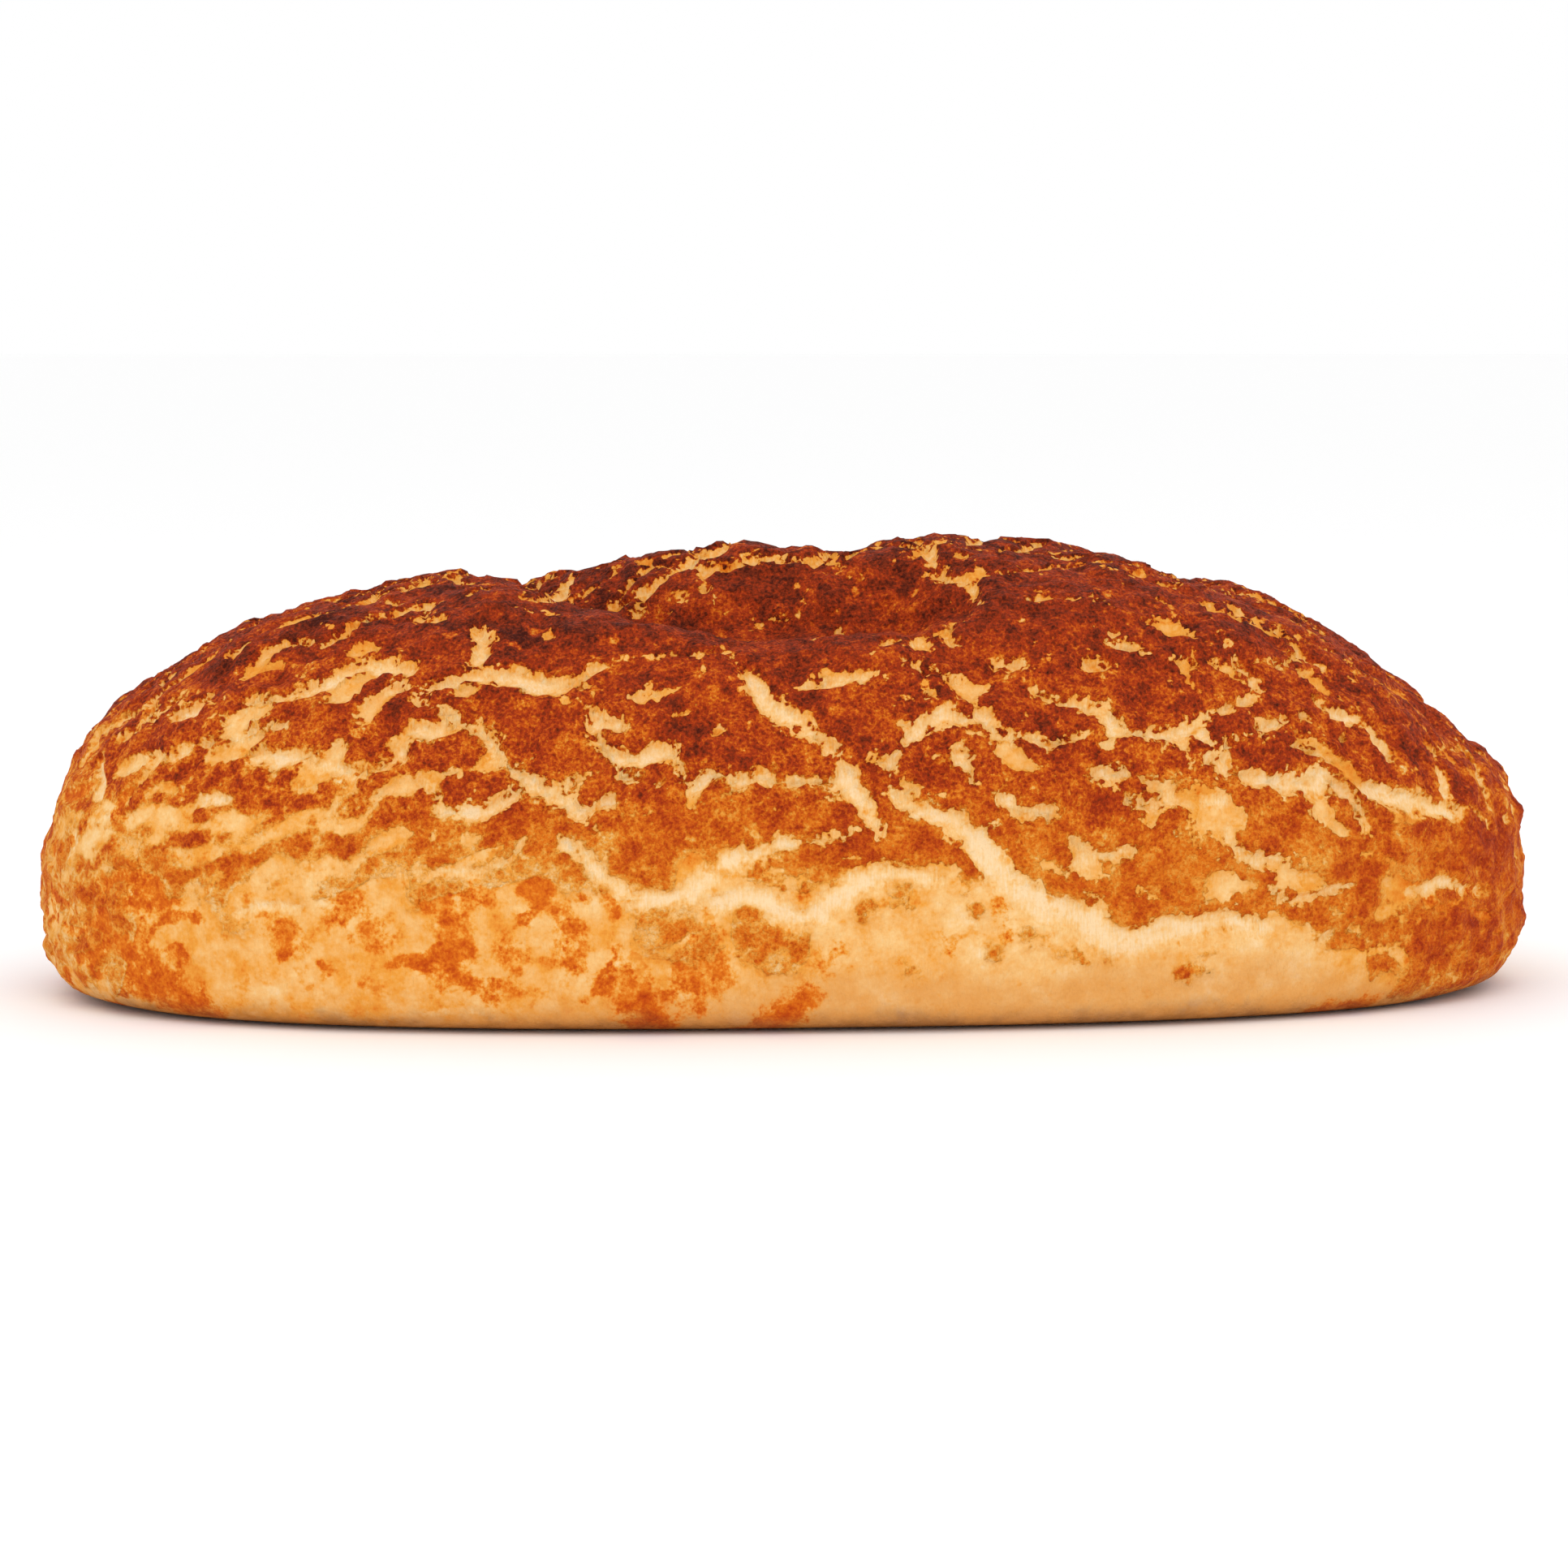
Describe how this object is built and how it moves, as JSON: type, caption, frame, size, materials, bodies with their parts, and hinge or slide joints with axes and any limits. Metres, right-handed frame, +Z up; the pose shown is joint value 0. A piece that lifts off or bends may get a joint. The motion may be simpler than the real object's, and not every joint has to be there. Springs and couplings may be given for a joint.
{
  "type": "tiger bread loaf",
  "caption": "Whole oval bloomer loaf with a flat base, domed top, diagonal slashes and a crackled rice-paste crust.",
  "frame": {"origin": "middle of the flat base, on the surface the loaf stands on", "axes": "+X along the loaf, towards the end where the crown falls away sooner; +Y across it, towards the back; +Z up"},
  "size_m": [0.3, 0.135, 0.091],
  "materials": {
    "tiger_crust": "matt baked crust, dark brown plates over pale stretched dough"
  },
  "bodies": {
    "root": {"tiger_bread_loaf": "tiger_crust"}
  },
  "joints": []
}
